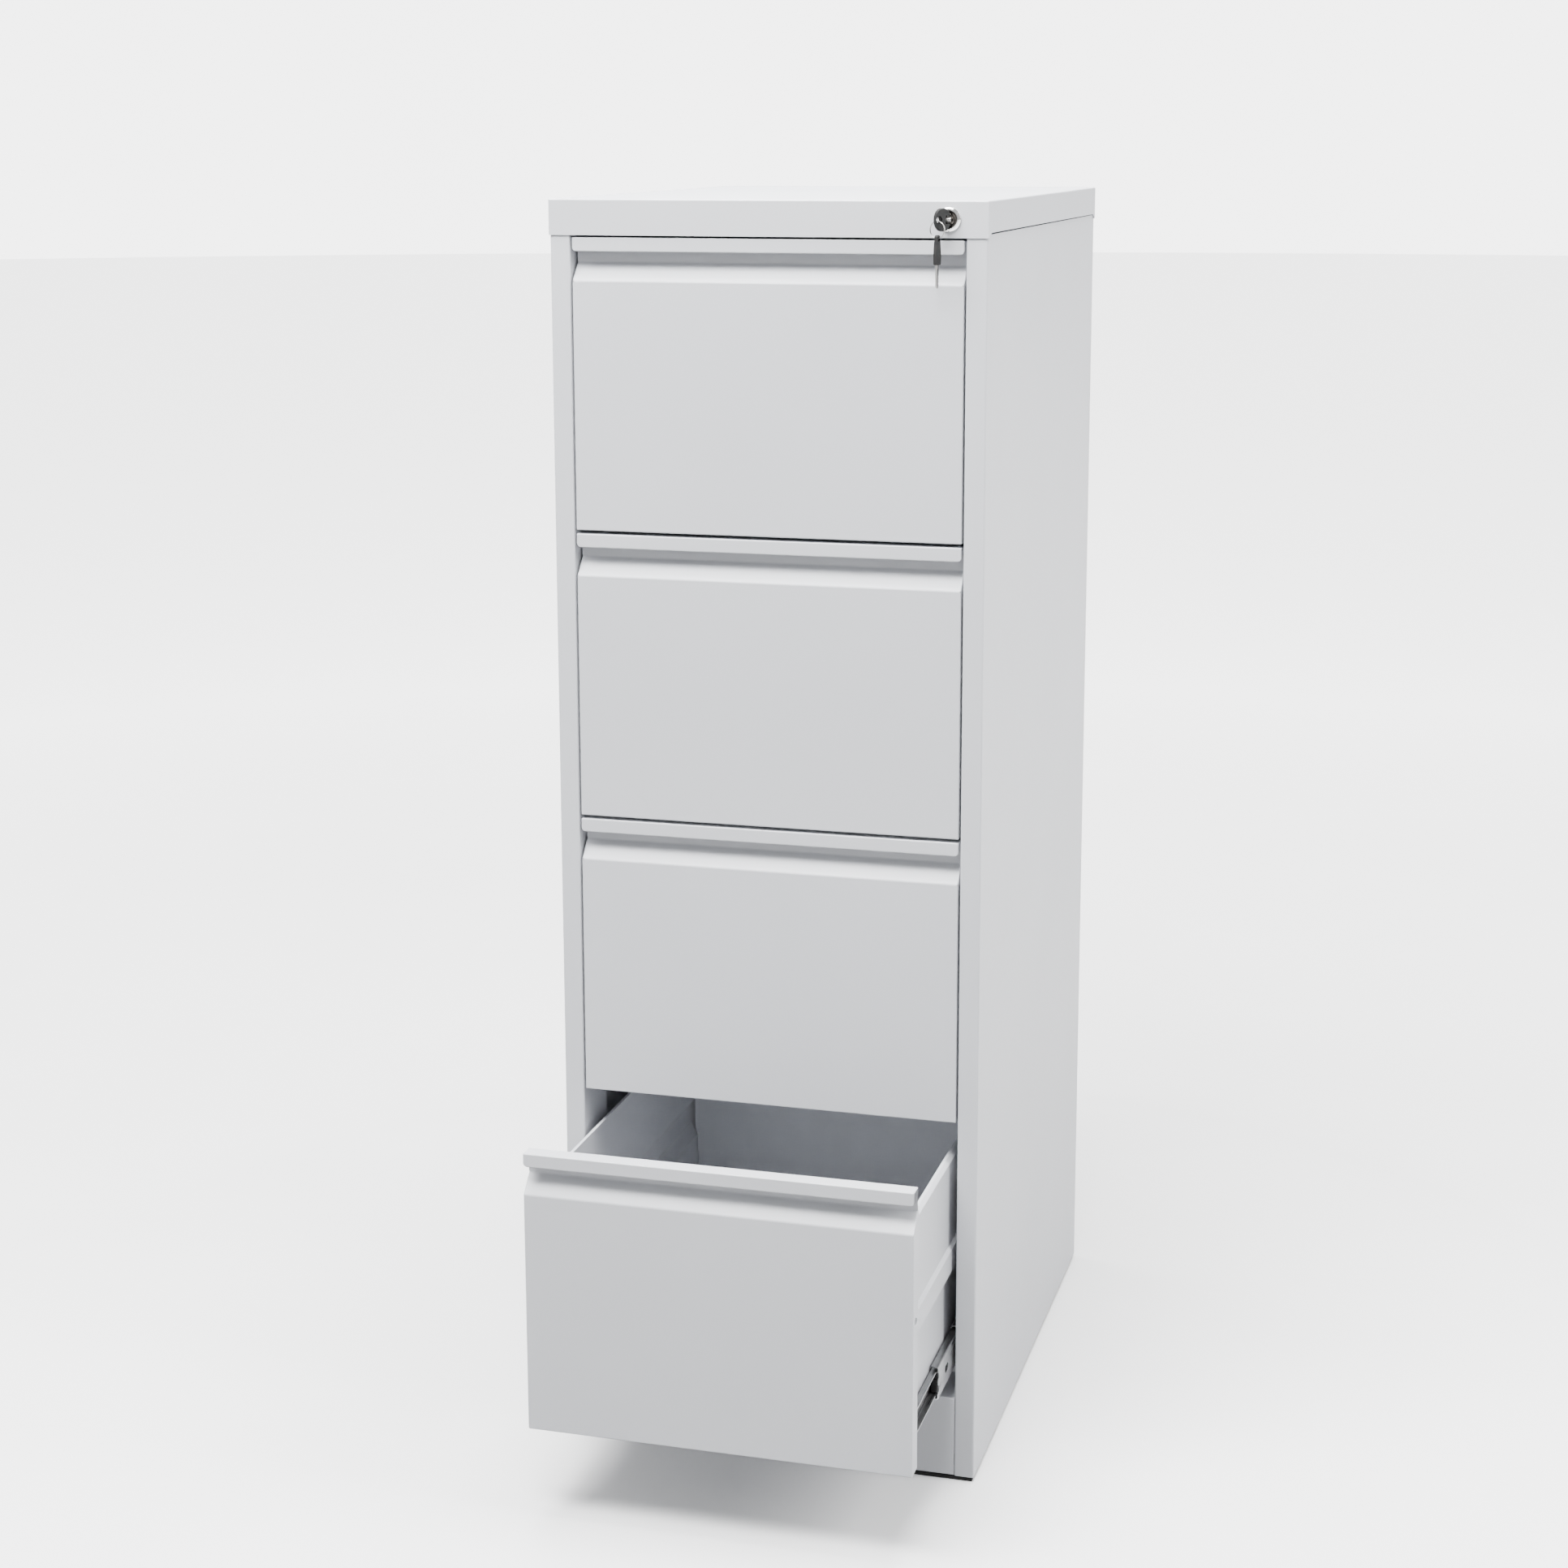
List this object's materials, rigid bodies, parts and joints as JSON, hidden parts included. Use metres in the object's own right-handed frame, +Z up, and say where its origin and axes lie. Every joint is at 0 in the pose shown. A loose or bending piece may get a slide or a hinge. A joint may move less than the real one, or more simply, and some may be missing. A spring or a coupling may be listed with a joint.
{
  "type": "metal filing cabinet",
  "caption": "Upright steel filing cabinet with full-width handle drawers on telescopic slides, the bottom one standing open, and a lock in the top edge with its keys.",
  "frame": {"origin": "on the floor, under the centre of the bounding box, with the bottom drawer standing open", "axes": "+Z up, front and drawers' opening direction -Y, +X to the right of someone facing the front"},
  "size_m": [0.4506, 0.8102, 1.33],
  "materials": {
    "powder_coat": "light grey powder coat, satin with a fine texture",
    "zinc_plate": "bright zinc-plated steel",
    "chrome": "polished, slightly warm",
    "steel": "plain bright steel",
    "black_plastic": "satin black"
  },
  "bodies": {
    "case": {"side_left": "powder_coat", "upright_left": "zinc_plate", "side_right": "powder_coat", "upright_right": "zinc_plate", "top_cap": "powder_coat", "back_panel": "powder_coat", "kick_plate": "powder_coat", "rear_channel": "powder_coat", "floor_strip_front": "black_plastic", "floor_strip_rear": "black_plastic", "slide_1_outer_left": "zinc_plate", "slide_1_outer_right": "zinc_plate", "slide_2_outer_left": "zinc_plate", "slide_2_outer_right": "zinc_plate", "slide_3_outer_left": "zinc_plate", "slide_3_outer_right": "zinc_plate", "slide_4_outer_left": "zinc_plate", "slide_4_outer_right": "zinc_plate", "lock_housing": "chrome"},
    "drawer_1": {"drawer_1_front": "powder_coat", "drawer_1_tray": "powder_coat", "drawer_1_wall_left": "powder_coat", "slide_1_inner_left": "zinc_plate", "drawer_1_wall_right": "powder_coat", "slide_1_inner_right": "zinc_plate"},
    "slide_1": {"slide_1_middle_left": "zinc_plate", "slide_1_middle_right": "zinc_plate"},
    "drawer_2": {"drawer_2_front": "powder_coat", "drawer_2_tray": "powder_coat", "drawer_2_wall_left": "powder_coat", "slide_2_inner_left": "zinc_plate", "drawer_2_wall_right": "powder_coat", "slide_2_inner_right": "zinc_plate"},
    "slide_2": {"slide_2_middle_left": "zinc_plate", "slide_2_middle_right": "zinc_plate"},
    "drawer_3": {"drawer_3_front": "powder_coat", "drawer_3_tray": "powder_coat", "drawer_3_wall_left": "powder_coat", "slide_3_inner_left": "zinc_plate", "drawer_3_wall_right": "powder_coat", "slide_3_inner_right": "zinc_plate"},
    "slide_3": {"slide_3_middle_left": "zinc_plate", "slide_3_middle_right": "zinc_plate"},
    "drawer_4": {"drawer_4_front": "powder_coat", "drawer_4_tray": "powder_coat", "drawer_4_wall_left": "powder_coat", "slide_4_inner_left": "zinc_plate", "drawer_4_wall_right": "powder_coat", "slide_4_inner_right": "zinc_plate"},
    "slide_4": {"slide_4_middle_left": "zinc_plate", "slide_4_middle_right": "zinc_plate"},
    "lock_core": {"lock_core": "chrome", "lock_cam": "zinc_plate"},
    "lock_bar": {"lock_bar": "zinc_plate"},
    "key": {"key_blade": "steel"},
    "key_head": {"key_head": "black_plastic"},
    "key_ring": {"key_ring": "steel"},
    "spare_key": {"spare_blade": "steel", "spare_head": "black_plastic"}
  },
  "joints": [
    {"name": "drawer_1_slide", "type": "slide", "parent": "case", "child": "drawer_1", "axis": [0, -1, 0], "range_m": [0, 0.5]},
    {"name": "slide_1_follow", "type": "slide", "parent": "case", "child": "slide_1", "axis": [0, -1, 0], "range_m": [0, 0.25]},
    {"name": "drawer_2_slide", "type": "slide", "parent": "case", "child": "drawer_2", "axis": [0, -1, 0], "range_m": [0, 0.5]},
    {"name": "slide_2_follow", "type": "slide", "parent": "case", "child": "slide_2", "axis": [0, -1, 0], "range_m": [0, 0.25]},
    {"name": "drawer_3_slide", "type": "slide", "parent": "case", "child": "drawer_3", "axis": [0, -1, 0], "range_m": [0, 0.5]},
    {"name": "slide_3_follow", "type": "slide", "parent": "case", "child": "slide_3", "axis": [0, -1, 0], "range_m": [0, 0.25]},
    {"name": "drawer_4_slide", "type": "slide", "parent": "case", "child": "drawer_4", "axis": [0, -1, 0], "range_m": [-0.189, 0.311]},
    {"name": "slide_4_follow", "type": "slide", "parent": "case", "child": "slide_4", "axis": [0, -1, 0], "range_m": [-0.0945, 0.1555]},
    {"name": "lock_turn", "type": "hinge", "parent": "case", "child": "lock_core", "pos_m": [0.186, -0.22105, 1.312], "axis": [0, 1, 0], "range_deg": [0, 90]},
    {"name": "lock_bar_lift", "type": "slide", "parent": "case", "child": "lock_bar", "axis": [0, 0, 1], "range_m": [0, 0.01198]},
    {"name": "key_withdraw", "type": "slide", "parent": "lock_core", "child": "key", "axis": [0, -1, 0], "range_m": [0, 0.026]},
    {"name": "key_fold", "type": "hinge", "parent": "key", "child": "key_head", "pos_m": [0.186, -0.22565, 1.312], "axis": [0, 0, 1], "range_deg": [-20, 30]},
    {"name": "ring_swing", "type": "hinge", "parent": "key_head", "child": "key_ring", "pos_m": [0.17829, -0.23484, 1.3107], "axis": [0.766, -0.6428, 0], "range_deg": [-60, 6]},
    {"name": "spare_swing", "type": "hinge", "parent": "key_ring", "child": "spare_key", "pos_m": [0.17829, -0.23484, 1.2944], "axis": [0.9659, -0.2588, 0], "range_deg": [-60, 8]}
  ],
  "couplings": [
    {"joint": "slide_1_follow", "follows": "drawer_1_slide", "ratio": 0.5},
    {"joint": "slide_2_follow", "follows": "drawer_2_slide", "ratio": 0.5},
    {"joint": "slide_3_follow", "follows": "drawer_3_slide", "ratio": 0.5},
    {"joint": "slide_4_follow", "follows": "drawer_4_slide", "ratio": 0.5},
    {"joint": "lock_turn", "follows": "lock_bar_lift", "rad_per_m": 131.06}
  ]
}
